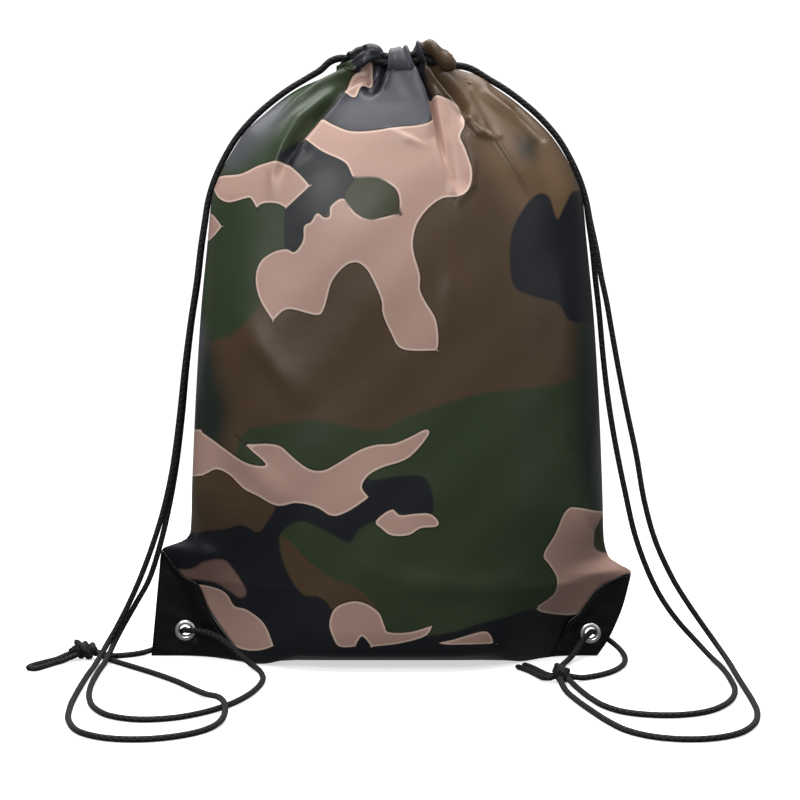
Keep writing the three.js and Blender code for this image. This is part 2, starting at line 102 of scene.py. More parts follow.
def curve_through(pairs, at):
    """A monotone cubic through (position, value) pairs."""
    px, py = np.array(pairs, float).T
    x = np.clip(at, px[0], px[-1])
    slope = np.diff(py) / np.diff(px)
    a, b = slope[:-1], slope[1:]
    inner = np.where(a * b > 0, 2 * a * b / np.where(a + b == 0, 1, a + b), 0)
    tangent = np.concatenate([slope[:1], inner, slope[-1:]])
    i = np.clip(np.searchsorted(px, x, side="right") - 1, 0, len(px) - 2)
    width = px[i + 1] - px[i]
    t = (x - px[i]) / width
    rise = (3 - 2 * t) * t * t
    bend = (1 - t) * tangent[i] - t * tangent[i + 1]
    return py[i] * (1 - rise) + py[i + 1] * rise + width * t * (1 - t) * bend


def section(z, side):
    corner = 1 - smoothstep(*side["tab"], z)
    edge, depth = curve_through(side["edge"], z), curve_through(HALF_DEPTH, z)
    tail = TAIL * (TAB_TAIL / TAIL) ** corner
    return edge, depth, lerp(POWER, TAB_POWER, corner), tail, curve_through(side["rim"], z)


def depth_at(x, z, side):
    edge, depth, power, tail, _ = section(z, side)
    return depth * (1 - np.minimum(np.abs(x) / edge, 1) ** power) ** tail


def body_row(z, facing, half_count):
    """One row of cloth from seam to seam at even steps, and how far along it each point is from the
    middle."""
    found = []
    for side in SIDES:
        edge, depth, power, tail, rim = section(z, side)
        turn = np.linspace(0, math.acos((rim / depth) ** (1 / (2 * tail))), SECTION_STEPS)
        x, y = edge * np.sin(turn) ** (2 / power), depth * np.clip(np.cos(turn), 0, 1) ** (2 * tail)
        y = np.maximum(y, SEAM_Y)
        s = np.concatenate([[0], np.cumsum(np.hypot(np.diff(x), np.diff(y)))])
        even = np.linspace(0, s[-1], half_count)
        sign = side["sign"]
        found.append((sign * np.interp(even, s, x), facing * np.interp(even, s, y), sign * even))
    (lx, ly, ls), (rx, ry, rs) = found
    x, y = np.concatenate([lx[::-1], rx[1:]]), np.concatenate([ly[::-1], ry[1:]])
    return np.stack([x, y, np.full(len(x), float(z))], -1), np.concatenate([ls[::-1], rs[1:]])


# ---- Small tools ----

def front_view(points):
    """Where points of the front are seen on the middle plane."""
    grow = EYE_DISTANCE / (EYE_DISTANCE + points[..., 1])
    return np.stack([points[..., 0] * grow, EYE_HEIGHT + (points[..., 2] - EYE_HEIGHT) * grow], -1)


def grid_normals(grid):
    across, up = np.gradient(grid, axis=1), np.gradient(grid, axis=0)
    normal = np.cross(across, up)
    return normal / np.maximum(np.linalg.norm(normal, axis=-1, keepdims=True), 1e-9)


def mesh_object(name, points, faces, material, attributes=None):
    mesh = bpy.data.meshes.new(name)
    mesh.from_pydata((np.asarray(points, float).reshape(-1, 3) * MM).tolist(), [], faces)
    mesh.update()
    mesh.polygons.foreach_set("use_smooth", [True] * len(mesh.polygons))
    for key, values in (attributes or {}).items():
        layer = mesh.attributes.new(key, "FLOAT", "POINT")
        layer.data.foreach_set("value", np.asarray(values, np.float32).ravel())
    mesh.materials.append(material)
    made = bpy.data.objects.new(name, mesh)
    bpy.context.scene.collection.objects.link(made)
    return made


def grid_faces(rows, columns, flip=False, start=0, wrap=False):
    faces = []
    for r in range(rows - 1):
        for c in range(columns if wrap else columns - 1):
            n = (c + 1) % columns
            a, b = start + r * columns + c, start + r * columns + n
            quad = (a, b, b + columns, a + columns)
            faces.append(quad[::-1] if flip else quad)
    return faces


def run_along(line):
    """How far along a line each of its points is."""
    return np.concatenate([[0], np.cumsum(np.linalg.norm(np.diff(line, axis=0), axis=1))])


def places_along(line, runs):
    """The points of a line at these distances along it."""
    along = run_along(line)
    return np.stack([np.interp(runs, along, line[:, i]) for i in range(3)], -1)


def path_through(points, step=2.5):
    """A centripetal Catmull-Rom line through the points, at even steps."""
    p = np.array(points, float)
    p = np.vstack([2 * p[0] - p[1], p, 2 * p[-1] - p[-2]])
    line = []
    t = np.linspace(0, 1, 16, endpoint=False)[:, None]
    for a, b, c, d in zip(p, p[1:], p[2:], p[3:]):
        k0, k1, k2 = (np.linalg.norm(v - u) ** 0.5 for u, v in ((a, b), (b, c), (c, d)))
        m0 = ((b - a) / k0 - (c - a) / (k0 + k1) + (c - b) / k1) * k1
        m1 = ((c - b) / k1 - (d - b) / (k1 + k2) + (d - c) / k2) * k1
        line.append(b + m0 * t + (3 * (c - b) - 2 * m0 - m1) * t ** 2 + (2 * (b - c) + m0 + m1) * t ** 3)
    line = np.vstack(line + [p[-2:-1]])
    length = run_along(line)[-1]
    return places_along(line, np.linspace(0, length, max(4, int(round(length / step)) + 1)))


def tube(name, line, radius, material, sides=12):
    """A round tube along a line, with how far along it each corner is and its turn round it."""
    line = np.asarray(line, float)
    tangent = np.gradient(line, axis=0)
    tangent /= np.linalg.norm(tangent, axis=1, keepdims=True)
    side = np.cross(tangent[0], (0, 0, 1) if abs(tangent[0][2]) < 0.9 else (1, 0, 0))
    along = run_along(line)
    radii = np.broadcast_to(radius, len(line)).astype(float).copy()
    radii[[0, -1]] *= END_SHRINK
    turns = np.arange(sides) * 2 * math.pi / sides
    points = []
    for p, t, r in zip(line, tangent, radii):
        side = side - t * side.dot(t)
        side /= np.linalg.norm(side)
        up = np.cross(t, side)
        points.append(p + r * (np.outer(np.cos(turns), side) + np.outer(np.sin(turns), up)))
    faces = grid_faces(len(line), sides, wrap=True)
    count = len(line) * sides
    points = np.vstack(points + [line[:1], line[-1:]])
    faces += [(count, (c + 1) % sides, c) for c in range(sides)]
    faces += [(count + 1, count - sides + c, count - sides + (c + 1) % sides) for c in range(sides)]
    made = mesh_object(name, points, faces, material)
    run = made.data.attributes.new("cord_run", "FLOAT", "CORNER")
    turn = made.data.attributes.new("cord_turn", "FLOAT", "CORNER")
    runs, round_it = [], []
    for polygon in made.data.polygons:
        columns = [v % sides if v < count else None for v in polygon.vertices]
        known = [c for c in columns if c is not None]
        wraps = 0 in known and sides - 1 in known
        for v, c in zip(polygon.vertices, columns):
            runs.append(along[min(v, count - 1) // sides] if v <= count else along[-1])
            c = known[0] if c is None else c
            round_it.append((sides if wraps and c == 0 else c) / sides)
    run.data.foreach_set("value", runs)
    turn.data.foreach_set("value", round_it)
    return made


# ---- Materials ----

class Look:
    """A material with a Principled surface, and short names for its nodes."""

    def __init__(self, name, **values):
        self.material = bpy.data.materials.new(name)
        self.material.use_nodes = True
        self.tree = self.material.node_tree
        self.surface = self.tree.nodes["Principled BSDF"]
        for key, value in values.items():
            self.surface.inputs[key.replace("_", " ")].default_value = value

    def put(self, kind, *inputs, **settings):
        node = self.tree.nodes.new("ShaderNode" + kind)
        for key, value in settings.items():
            setattr(node, key, value)
        for i, value in enumerate(inputs):
            self.feed(node.inputs[i], value)
        return node

    def feed(self, socket, value):
        if isinstance(value, bpy.types.NodeSocket):
            self.tree.links.new(value, socket)
        elif value is not None:
            socket.default_value = value

    def paint(self, socket, value):
        self.feed(self.surface.inputs[socket], value)

    def math(self, operation, *inputs):
        return self.put("Math", *inputs, operation=operation).outputs[0]

    def attribute(self, name):
        return self.put("Attribute", attribute_name=name).outputs["Fac"]

    def step(self, value, low, high):
        node = self.put("MapRange", value, low, high, 0.0, 1.0, interpolation_type="SMOOTHSTEP")
        return node.outputs[0]

    def mix(self, share, a, b):
        node = self.put("Mix", data_type="RGBA")
        for socket, value in zip((node.inputs[0], node.inputs[6], node.inputs[7]), (share, a, b)):
            self.feed(socket, value)
        return node.outputs[2]

    def noise(self, vector, scale, detail=3.0, roughness=0.5):
        node = self.put("TexNoise")
        self.feed(node.inputs["Vector"], vector)
        self.feed(node.inputs["Scale"], scale)
        self.feed(node.inputs["Detail"], detail)
        self.feed(node.inputs["Roughness"], roughness)
        return node.outputs[0]

    def object_place(self):
        return self.put("TexCoord").outputs["Object"]

    def bump(self, height, distance, strength=1.0, onto=None):
        node = self.put("Bump")
        self.feed(node.inputs["Strength"], strength)
        self.feed(node.inputs["Distance"], distance)
        self.feed(node.inputs["Height"], height)
        if onto is not None:
            self.feed(node.inputs["Normal"], onto)
        return node.outputs[0]


def linear(red, green, blue):
    """A screen colour, 0 to 255, as the linear colour that a shader takes."""
    shares = [c / 255 for c in (red, green, blue)]
    return tuple(((s + 0.055) / 1.055) ** 2.4 if s > 0.04 else s / 12.92 for s in shares) + (1.0,)


BROWN = linear(80, 63, 45)
# A lighter brown, painted as sheen where the top light's highlight falls on the right shoulder.
PAINTED_SHEEN_TAN = linear(104, 82, 60)
GREEN = linear(50, 63, 41)
LEAF = linear(56, 58, 36)
# A dark green, for a print blot and for painted shade down the sides.
DEEP_AND_SIDE_SHADE = linear(34, 42, 37)
NAVY = linear(25, 27, 33)
# A pale grey, painted as sheen where highlights fall.
PAINTED_SHEEN_SLATE = linear(82, 83, 90)
DUSK = linear(124, 98, 90)
PINK = linear(184, 150, 138)
RIM = linear(214, 188, 172)
LINE = linear(34, 27, 24)
# Each flat print colour, and each patch of painted sheen and shade, fades in between a distance outside
# its outlines, which is negative, and one inside.
FLAT_INKS_AND_PAINTED_LIGHT = (("tan", PAINTED_SHEEN_TAN, -14.0, 10.0), ("green", GREEN, -2.2, 1.6), ("deep_and_side_shade", DEEP_AND_SIDE_SHADE, -15.0, 9.0),
             ("navy", NAVY, -1.4, 1.0), ("slate_sheen", PAINTED_SHEEN_SLATE, -12.0, 8.0), ("earth", BROWN, -1.4, 1.0),
             ("dusk", DUSK, -1.6, 1.2))
RIMMED_INKS = (("pink", PINK, RIM), ("leaf", LEAF, LEAF))
WEAVE = 8.4  # radians of weave to a millimetre of cloth
PLAIT_STRANDS, PLAIT_PITCH = 4, 4.4


def camouflage(name):
    """Coated cloth: flat print colours one over another, with painted sheen on the shoulders, the top pleat
    and the sides and painted shade down both sides laid in among them, a pale rim round the pink ones,
    and a fine weave under the coating."""
    look = Look(name, Roughness=0.38, Specular_IOR_Level=0.36, Sheen_Weight=0.04, Sheen_Roughness=0.4)
    ink_and_light_masks = {key: look.attribute("ink_" + key) for key in [row[0] for row in FLAT_INKS_AND_PAINTED_LIGHT + RIMMED_INKS]}
    place = look.object_place()
    color = BROWN
    for key, fill, outside, inside in FLAT_INKS_AND_PAINTED_LIGHT:
        color = look.mix(look.step(ink_and_light_masks[key], outside, inside), color, fill)
    for key, fill, rim in RIMMED_INKS:
        line = look.math("MULTIPLY", look.step(ink_and_light_masks[key], -1.5, -0.5), 0.75)
        color = look.mix(line, color, LINE)
        color = look.mix(look.step(ink_and_light_masks[key], -0.35, 0.15), color, rim)
        color = look.mix(look.step(ink_and_light_masks[key], 0.8, 1.7), color, fill)
    cloudy = look.step(look.noise(place, 9.0, 3.0), 0.3, 0.75)
    cloud_share = look.math("MULTIPLY", cloudy, 0.16)
    shade = look.mix(0.55, color, (0.0, 0.0, 0.0, 1.0))
    color = look.mix(cloud_share, color, shade)
    look.paint("Base Color", color)
    run, rise = look.attribute("cloth_run"), look.attribute("cloth_rise")
    weave = look.math("MULTIPLY", look.math("SINE", look.math("MULTIPLY", run, WEAVE)),
                      look.math("SINE", look.math("MULTIPLY", rise, WEAVE)))
    grain = look.bump(weave, 0.00003, 0.35)
    crinkle = look.bump(look.noise(place, 34.0, 4.0, 0.55), 0.0012, 0.35, grain)
    look.paint("Normal", crinkle)
    return look.material


def leatherette():
    look = Look("leatherette", Base_Color=linear(8, 8, 10), Roughness=0.34, Specular_IOR_Level=0.4)
    place = look.object_place()
    cells = look.put("TexVoronoi", place)
    cells.inputs["Scale"].default_value = 900.0
    grain = look.bump(cells.outputs["Distance"], 0.00012, 0.5)
    creases = look.bump(look.noise(place, 60.0, 4.0, 0.6), 0.0010, 0.5, grain)
    look.paint("Normal", creases)
    return look.material


def braided_cord():
    look = Look("braided_cord", Roughness=0.62, Specular_IOR_Level=0.35, Sheen_Weight=0.06,
                Sheen_Roughness=0.5)
    run, turn = look.attribute("cord_run"), look.attribute("cord_turn")
    turn = look.math("MULTIPLY", turn, PLAIT_STRANDS * 2 * math.pi)
    run = look.math("MULTIPLY", run, 2 * math.pi / PLAIT_PITCH)
    over = look.math("SINE", look.math("ADD", run, turn))
    under = look.math("SINE", look.math("SUBTRACT", run, turn))
    plait = look.math("MAXIMUM", over, under)
    # Painted shade and highlight: darker in the grooves between the plait's strands, lighter on their
    # crowns.
    color = look.mix(look.step(plait, -0.6, 1.0), linear(6, 6, 7), linear(18, 18, 21))
    look.paint("Base Color", color)
    look.paint("Normal", look.bump(plait, 0.0003, 0.8))
    return look.material


def nickel():
    look = Look("nickel", Base_Color=(0.92, 0.92, 0.91, 1.0), Metallic=1.0, Roughness=0.34)
    scratches = look.noise(look.object_place(), 700.0, 2.0)
    look.paint("Normal", look.bump(scratches, 0.00002, 0.3))
    return look.material


def thread():
    look = Look("thread", Base_Color=linear(30, 30, 33), Roughness=0.6)
    fibres = look.noise(look.object_place(), 1500.0)
    look.paint("Normal", look.bump(fibres, 0.0001, 0.5))
    return look.material


FRONT_CLOTH, BACK_CLOTH = camouflage("camouflage_front"), camouflage("camouflage_back")
LEATHERETTE, CORD_BLACK, NICKEL, THREAD = leatherette(), braided_cord(), nickel(), thread()

# ---- Camera, light and floor ----

BAY_RADIUS, BAY_CURVE, BAY_TOP = 2000, 1200, 5000


def add_camera():
    data = bpy.data.cameras.new("camera")
    data.lens, data.sensor_width = 92.85, 36
    camera = bpy.data.objects.new("camera", data)
    bpy.context.scene.collection.objects.link(camera)
    camera.location = (0.002, -EYE_DISTANCE * MM, EYE_HEIGHT * MM)
    aim = Vector((0.002, 0, 0.183)) - camera.location
    camera.rotation_euler = aim.to_track_quat("-Z", "Y").to_euler()
    bpy.context.scene.camera = camera


def add_light(name, place, aim, size, power):
    data = bpy.data.lights.new(name, "AREA")
    data.shape, data.size, data.size_y = "RECTANGLE", size[0], size[1]
    data.energy = power
    light = bpy.data.objects.new(name, data)
    bpy.context.scene.collection.objects.link(light)
    light.location = place
    light.rotation_euler = (Vector(aim) - Vector(place)).to_track_quat("-Z", "Y").to_euler()


def add_floor():
    """A floor in a round bay, which glows so that it shows white, and neither lights the bag nor is
    reflected in it."""
    look = Look("studio_white", Base_Color=(0.9, 0.9, 0.9, 1), Roughness=0.9, Emission_Strength=1.0)
    away = look.put("VectorMath", look.object_place(), operation="LENGTH").outputs["Value"]
    glow = look.mix(look.step(away, 0.5, 2.6), (0.6, 0.6, 0.6, 1), (0.93, 0.93, 0.93, 1))
    look.paint("Emission Color", glow)
    turn = np.linspace(0, math.pi / 2, 12)
    profile = [(0.01, 0), (BAY_RADIUS, 0)]
    profile += [(BAY_RADIUS + BAY_CURVE * math.sin(a), BAY_CURVE - BAY_CURVE * math.cos(a))
                for a in turn[1:]]
    profile.append((BAY_RADIUS + BAY_CURVE, BAY_TOP))
    points = [(r * math.cos(a), r * math.sin(a), z) for r, z in profile for a in ROUND_TURNS]
    faces = grid_faces(len(profile), ROUND_SIDES, wrap=True)
    floor = mesh_object("studio_floor", points, faces, look.material)
    floor.visible_glossy = floor.visible_diffuse = False


def add_studio():
    scene = bpy.context.scene
    world = bpy.data.worlds.new("studio")
    world.use_nodes = True
    world.node_tree.nodes["Background"].inputs[0].default_value = (1, 1, 1, 1)
    world.node_tree.nodes["Background"].inputs[1].default_value = 0.12
    scene.world = world
    scene.view_settings.view_transform = "Standard"
    add_light("top", (0.0, 0.05, 1.35), (0, 0, 0.25), (1.7, 1.1), 31)
    add_light("key", (-0.45, -1.3, 0.95), (0, 0, 0.14), (0.6, 0.6), 11)
    add_light("right_front", (0.9, -1.1, 0.6), (0, 0, 0.2), (0.4, 0.8), 1.5)
    add_floor()


add_camera()
add_studio()

# ---- Cords ----

MOUTH_X = (34.3, 41, 47)  # where a strap leaves the casing and clears the mouth
LIP_TO_SEAM = 28.7  # the width over which it moves from the lip to the side seam
FLOOR_LEVEL = 2.2  # a strap's middle where it lies on the floor; its points there give x and y only
LOOP_LEVEL = 2.4  # one loop lies this far above the middle of the casings, the other as far below
WOUND_INSET = 2.1
SHOULDER = [
    (53, 413.4), (63, 407.4), (75.6, 399.8), (87.8, 390.8), (100.2, 379.8), (112.2, 366), (121, 351.4),
    (127.6, 337), (131.9, 323)]


def over_shoulder(sign, start_y, end_y, exit_heights):
    run = list(zip(MOUTH_X, exit_heights)) + SHOULDER
    return [(sign * x, lerp(start_y, end_y, min((x - MOUTH_X[0]) / LIP_TO_SEAM, 1)), z) for x, z in run]


LEFT_FRONT = over_shoulder(-1, -8, -4.6, (421.4, 421.3, 418.9)) + [
    (-134.4, -5.5, 308), (-137.2, -6.5, 290), (-140, -7.5, 267), (-144.5, -8, 238),
    (-149, -8, 205), (-153, -8, 170), (-158, -8.5, 135), (-164.5, -9, 106), (-172, -10, 82),
    (-181, -11, 58), (-190, -12.5, 38), (-198, -15, 22.5), (-204, -20, 12), (-207.6, -29, 5.2),
    (-209.2, -42, 2.3), (-209.4, -70), (-209, -100), (-208, -135), (-206, -170), (-201, -205),
    (-190, -233), (-172, -248), (-150, -251), (-130, -243), (-115.5, -228), (-108, -208, 2.7),
    (-106.5, -190, 4.7), (-109, -172, 6.7), (-114.5, -155, 6), (-122.5, -138, 3.6), (-133, -117),
    (-147, -93), (-164, -69), (-180, -49), (-193, -33), (-201.5, -22.5, 2.3), (-206.3, -16.5, 3),
    (-209.4, -14.2, 4.2), (-216, -12.4, 6.2)]
LEFT_BACK = over_shoulder(-1, 8, 0.4, (421.4, 421.3, 418.9)) + [
    (-134.2, -0.3, 308), (-136.8, -1.2, 290), (-139.5, -2, 267), (-144, -2.6, 238),
    (-148, -3, 205), (-151.5, -3.2, 170), (-156, -3.6, 135), (-161.3, -5, 106), (-167, -7, 82),
    (-175.5, -6.4, 56), (-185.5, -7.4, 38), (-194, -10, 23), (-198.6, -15.4, 14),
    (-201.2, -24, 7.6), (-203, -36, 3.2), (-203.8, -52), (-203.4, -80), (-202, -110), (-198, -142),
    (-190.5, -170), (-178, -191), (-160, -201), (-140, -198), (-122, -184), (-107.5, -163),
    (-97.5, -138), (-91.5, -110), (-90, -84), (-93, -63)]
LEFT_EYELET_RUN = [
    (-93.2, -62), (-96.5, -52, 2.4), (-101.5, -44, 4), (-108.5, -36.5, 8), (-117, -28.5, 13.5),
    (-126.5, -20.5, 18), (-136, -14.5, 20.3), (-144, -10.5, 20.5), (-149.4, -5.4, 19.6),
    (-150.6, 0, 19), (-151.6, 5.2, 18.2), (-155.5, 9.4, 15.4), (-161, 10.4, 11.5),
    (-166.5, 8.8, 7.6), (-172, 6.8, 4.6), (-178, 3.4, 2.8), (-184.5, -1.8), (-192.5, -7),
    (-200, -9.4), (-206, -10, 3), (-209.4, -9.8, 4.2), (-216, -11.4, 6.2)]
LEFT_KNOT_TAIL = [
    (-226, -12.6, 6), (-232.8, -14, 4), (-238.5, -21, 2.4), (-246, -32), (-252.5, -43),
    (-253.5, -50), (-248.5, -52), (-244.5, -46), (-239, -35), (-233.5, -26, 2.4),
    (-229, -19.6, 3.4), (-223.5, -14.6, 5)]
RIGHT_FRONT = over_shoulder(1, -8, -4.6, (416.6, 416.4, 415.6)) + [
    (134.8, -6, 308), (138.8, -7, 290), (142.4, -8, 270), (146.4, -8, 252), (150.4, -8, 230),
    (156.5, -8, 198), (162, -8, 172), (168, -8, 145), (174, -8.5, 112), (182, -9, 84),
    (194.5, -10, 57), (205, -11, 40), (215, -12.5, 25.5), (223.5, -16, 13.5), (229, -24, 5.6),
    (231, -36, 2.3), (230.2, -60), (229.2, -90), (228.4, -120), (227.4, -150), (225, -182),
    (218, -212), (205, -236), (189, -248), (171, -251), (153, -245), (139, -230), (129.5, -206),
    (122, -178), (115.5, -150), (111, -125), (109.2, -107, 3), (108.8, -95.1, 4),
    (109.4, -90.5, 5.4)]
RIGHT_BACK = over_shoulder(1, 8, 0.4, (416.6, 416.4, 415.6)) + [
    (134, -0.4, 308), (136.6, -1.4, 290), (138.9, -2.2, 268), (141.5, -3, 246), (144.6, -3.4, 214),
    (148.2, -3.6, 185), (153, -4, 156), (160, -4.4, 122), (168.5, -5, 86), (180, -5.5, 56),
    (189.5, -6, 39), (200, -7.5, 25), (210.5, -10, 13.6), (218, -17, 5.8), (222.2, -29, 2.4),
    (223.8, -55), (223.4, -90), (221.4, -118), (216, -142), (207, -163), (194, -180), (177, -189),
    (158, -189), (142, -181), (131, -164), (124.5, -142), (120, -120), (116.8, -104, 2.8),
    (114.2, -93.9, 4), (111.8, -89.8, 5.4)]
RIGHT_EYELET_LOOP = [
    (112.6, -87, 5.4), (117, -86, 4), (124, -83, 2.5), (133, -77), (143, -67), (151, -54),
    (157, -38), (160, -21), (160.5, -6, 2.6), (158.5, 5, 4.5), (153, 12, 8.5), (146, 12.4, 13),
    (139.6, 7.4, 16.4), (137.4, 0, 17), (134.9, -6.6, 16.4), (130, -12.5, 12.5), (125.5, -19, 7.5),
    (120.5, -27.5, 4), (115.2, -39, 2.4), (111.6, -53), (109.8, -66, 2.4), (109.4, -75, 3.2),
    (109.4, -81, 4), (109.8, -85.5, 5.4)]
RIGHT_END_ONE = [
    (108, -86.6, 5.4), (104.5, -83.4, 4), (101.5, -75, 2.8), (98, -63), (93, -50), (87.5, -39)]
RIGHT_END_TWO = [
    (107.4, -88.4, 5.4), (102.7, -89.6, 4), (98.5, -84, 2.8), (94, -70), (89, -57), (82.5, -45)]


def make_cord(name, points, node, blended=False):
    line = path_through([(*point, FLOOR_LEVEL)[:3] for point in points])
    cord = tube(name, line, CORD_RADIUS, CORD_BLACK)
    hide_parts(node)
    if blended:
        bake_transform(cord)
    else:
        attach(cord, "root")
    return cord, line


def loop_points(sign):
    """The stretch held in the casings: in through the front one, round the far end of the mouth, and
    back."""
    level = -sign * LOOP_LEVEL
    outwards = CASING_PATH if sign < 0 else CASING_PATH[::-1]
    end_x, end_y, end_z = outwards[-1]
    front = [(x, -y, z + level) for x, y, z in outwards]
    back = [(x, y, z + level) for x, y, z in outwards][::-1]
    turns = [turn * math.pi / 2 for turn in (-0.6, 0, 0.6)]
    far = [(end_x - sign * (1.5 + 0.3 * end_y * math.cos(a)), end_y * math.sin(a), end_z + 1.4 * level)
           for a in turns]
    return front + far + back


def make_knot(name, centre, half_length, radius, node, turns):
    """An overhand knot pulled tight: the cord wound round itself, fatter in the middle."""
    t = np.linspace(-1, 1, 90)
    angle = t * turns * math.pi + 0.6
    reach = (radius - WOUND_INSET) * (1 - 0.5 * np.abs(t) ** 2.4) * (1 + 0.08 * np.sin(5 * t))
    line = np.stack([centre[0] + t * (half_length - WOUND_INSET), centre[1] + reach * np.cos(angle),
                     centre[2] + reach * np.sin(angle)], -1)
    knot = tube(name, line, 2.15, CORD_BLACK)
    core_t = np.linspace(-1, 1, 24)
    core_line = np.stack([centre[0] + core_t * (half_length - 1.5), np.full(24, centre[1]),
                          np.full(24, centre[2])], -1)
    core_radius = (radius - 1.6) * np.sqrt(np.clip(1 - 0.9 * core_t ** 2, 0, 1))
    core = tube(name + "_core", core_line, core_radius, CORD_BLACK)
    cross_t = np.linspace(-1, 1, 30)
    cross_angle = 1.1 + 1.3 * cross_t
    cross = np.stack([centre[0] + cross_t * half_length * 0.55,
                      centre[1] - (radius - 0.9) * np.sin(cross_angle),
                      centre[2] + (radius - 0.9) * np.cos(cross_angle)], -1)
    strand = tube(name + "_strand", cross, 2.0, CORD_BLACK)
    join([knot, core, strand])
    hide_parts(node)
    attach(knot, "root")
    return knot


def join(objects):
    """One object out of several; the first one keeps its name."""
    bpy.ops.object.select_all(action="DESELECT")
    for o in objects:
        o.select_set(True)
    bpy.context.view_layer.objects.active = objects[0]
    bpy.ops.object.join()


def add_cords():
    for name, points, node, blended in (
            ("left_strap_front", LEFT_FRONT, "left_cord_front_strand", True),
            ("left_strap_back", LEFT_BACK, "left_cord_back_strand", False),
            ("left_strap_eyelet_run", LEFT_EYELET_RUN, "left_cord_eyelet_run", False),
            ("left_strap_tail", LEFT_KNOT_TAIL, "left_knot_tail", False),
            ("right_strap_front", RIGHT_FRONT, "right_cord_front_strand", True),
            ("right_strap_back", RIGHT_BACK, "right_cord_back_strand", False),
            ("right_strap_eyelet_loop", RIGHT_EYELET_LOOP, "right_cord_eyelet_loop", False),
            ("right_strap_end_one", RIGHT_END_ONE, "right_cord_end_one", False),
            ("right_strap_end_two", RIGHT_END_TWO, "right_cord_end_two", False),
            ("left_strap_in_casing", loop_points(-1), "left_cord_loop", True),
            ("right_strap_in_casing", loop_points(1), "right_cord_loop", True)):
        make_cord(name, points, node, blended)
    left_knot = make_knot("left_strap_knot", (-221, -12, 6.8), 11, 6.6, "left_knot", 3.4)
    right_knot = make_knot("right_strap_knot", (110, -88, 6.4), 6.3, 6.2, "right_knot", 2.2)


add_cords()

# ---- The cloth ----

HALF_COLUMNS = 118
ROWS = np.concatenate([[0.2, 1.0], np.arange(2.5, 300, 2.1), np.arange(300, NECK_Z, 1.25), [NECK_Z]])
# Rows under the bag, from its base seam out to its front or back edge.
BASE_SHARES = (1.0, 0.8, 0.6, 0.42, 0.26, 0.12)
HEM_TURNS = np.radians(np.linspace(-62, 218, 30))
HEM_DEPTH, HEM_HEIGHT = 5.0, 7.2
HEM_PATH = [(-42, 2.4, 415.5)] + CASING_PATH + [(42, 2.4, 415.5)]
HEM_TAPER = 0.88  # how much smaller the hem's roll is where it runs out into the shoulders
HEM_TOP = 428
NECK_PUSH = 3.6
BODY = slice(len(BASE_SHARES), len(BASE_SHARES) + len(ROWS))
TAB_EASE = (58, 116)
SEAM_ZONE = (112, 143)


def ease_over_tabs(body):
    """The stuffed middle runs straight up past the tabs: only the cloth near the seams is drawn out
    into them."""
    low, high = TAB_EASE
    below, above = (body[int(np.argmin(np.abs(ROWS - z)))][0] for z in TAB_EASE)
    for row, _ in body:
        x, y, z = row.T
        if low < z[0] < high:
            lower, upper = (np.interp(x, line[:, 0], line[:, 1]) for line in (below, above))
            eased = lerp(lower, upper, smoothstep(low, high, z[0]))
            row[:, 1] = lerp(y, eased, 1 - smoothstep(*SEAM_ZONE, np.abs(x)))


def cloth_base(facing):
    """A panel from its base seam up, over its hem and down inside it, with the cloth coordinates of
    its points."""
    body = [body_row(z, facing, HALF_COLUMNS) for z in ROWS]
    ease_over_tabs(body)
    for row, _ in body:
        near_top = smoothstep(388, NECK_Z, row[:, 2])
        row[:, 1] += facing * NECK_PUSH * near_top * (1 - smoothstep(20, 40, np.abs(row[:, 0])))
    foot, foot_run = body[0]
    under = [np.stack([foot[:, 0], lerp(foot[:, 1], BASE_SEAM_Y, share), foot[:, 2]], -1)
             for share in BASE_SHARES]
    neck, neck_run = body[-1]
    x_at, y_at, z_at = zip(*HEM_PATH)
    x = neck[:, 0]
    small = 1 - HEM_TAPER * smoothstep(33, 41, np.abs(x))
    hem = []
    for turn in HEM_TURNS:
        y = curve_through(list(zip(x_at, y_at)), x) + small * HEM_DEPTH * math.cos(turn)
        z = curve_through(list(zip(x_at, z_at)), x) + small * HEM_HEIGHT * math.sin(turn)
        hem.append(np.stack([x, facing * y, z], -1))
    grid = np.array(under + [row for row, _ in body] + hem)
    run = np.array([foot_run] * len(under) + [r for _, r in body] + [neck_run] * len(hem))
    middle = grid[:, grid.shape[1] // 2, 1:]
    rise = run_along(middle)
    rise = np.where(rise < rise[BODY.start], rise - rise[BODY.start], rise)
    rise[BODY] = ROWS
    rise[BODY.stop:] += NECK_Z + 1 - rise[BODY.stop]
    return grid, run, np.repeat(rise[:, None], run.shape[1], axis=1)


def crease(view, line, heights, left, right):
    """A fold along a line in the front view, with its height at each of the line's points and its
    softness on each side."""
    best, value = np.full(view.shape[:-1], np.inf), np.zeros(view.shape[:-1])
    for a, b, low, high in zip(line, line[1:], heights, heights[1:]):
        a, d = np.array(a, float), np.subtract(b, a).astype(float)
        t = np.clip(((view - a) @ d) / d.dot(d), 0, 1)
        off = view - (a + t[..., None] * d)
        away = np.hypot(off[..., 0], off[..., 1])
        on_right = d[0] * off[..., 1] - d[1] * off[..., 0] > 0
        height = lerp(low, high, t) * np.exp(-(away / np.where(on_right, right, left)) ** 2)
        value = np.where(away < best, height, value)
        best = np.minimum(best, away)
    return value


